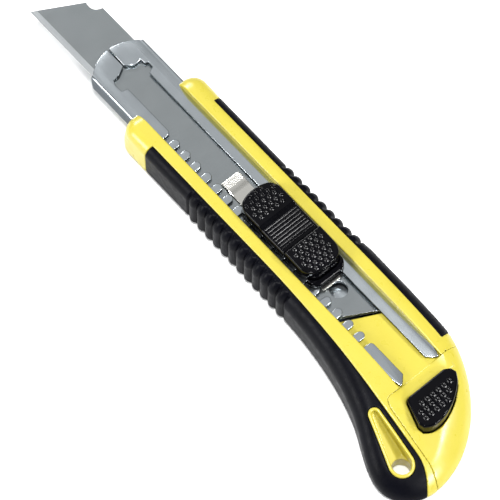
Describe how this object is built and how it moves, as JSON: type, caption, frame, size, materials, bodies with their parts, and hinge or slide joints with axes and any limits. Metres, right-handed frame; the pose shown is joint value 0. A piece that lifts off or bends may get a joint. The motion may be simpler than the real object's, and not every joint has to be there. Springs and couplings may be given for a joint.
{
  "type": "utility knife",
  "caption": "Snap-off blade utility knife with a sliding blade carrier, spare-blade magazine, rubber grips, pull-off end cap and lanyard hole.",
  "frame": {"origin": "On the flat back, under the middle of the whole knife with its blade out", "axes": "+X along the knife towards the blade's tip, +Y towards the cutting edge, +Z out of the slider's face"},
  "size_m": [0.1994, 0.048, 0.0193],
  "materials": {
    "yellow_plastic": "satin moulded",
    "black_rubber": "matte moulded",
    "black_plastic": "glossy",
    "sheet_steel": "rolled and plated",
    "blade_steel": "ground",
    "spring_steel": "bright",
    "rivet_steel": "plated"
  },
  "bodies": {
    "handle": {"handle_body": "yellow_plastic", "lower_grip": "black_rubber", "upper_grip": "black_rubber", "blade_channel": "sheet_steel", "channel_rivets": "rivet_steel", "magazine_spring": "spring_steel", "spare_blade_1": "blade_steel", "spare_blade_2": "blade_steel", "spare_blade_3": "blade_steel"},
    "slider": {"slider_base": "black_plastic", "thumb_pad": "black_plastic", "blade_carrier": "spring_steel", "carrier_rivets": "rivet_steel", "active_blade": "blade_steel", "detent_spring": "spring_steel", "lock_spring": "spring_steel"},
    "lock_button": {"lock_button": "black_plastic"},
    "end_cap": {"end_cap": "yellow_plastic", "cap_button_spring": "spring_steel", "cap_latch": "spring_steel"},
    "cap_button": {"cap_button": "black_plastic"}
  },
  "joints": [
    {"name": "slider_slide", "type": "slide", "parent": "handle", "child": "slider", "axis": [1, 0, 0], "range_m": [-0.04, 0.05], "deforming": ["detent_spring"]},
    {"name": "lock_button_press", "type": "slide", "parent": "slider", "child": "lock_button", "axis": [0, 0, -1], "range_m": [0, 0.0009], "stiffness_N_per_m": 600, "springref_m": -0.001, "deforming": ["lock_spring"]},
    {"name": "end_cap_pull", "type": "slide", "parent": "handle", "child": "end_cap", "axis": [-1, 0, 0], "range_m": [0, 0.034], "deforming": ["cap_latch"]},
    {"name": "cap_button_press", "type": "slide", "parent": "end_cap", "child": "cap_button", "axis": [0, 0, -1], "range_m": [0, 0.0015], "stiffness_N_per_m": 600, "springref_m": -0.001, "deforming": ["cap_button_spring"]}
  ]
}
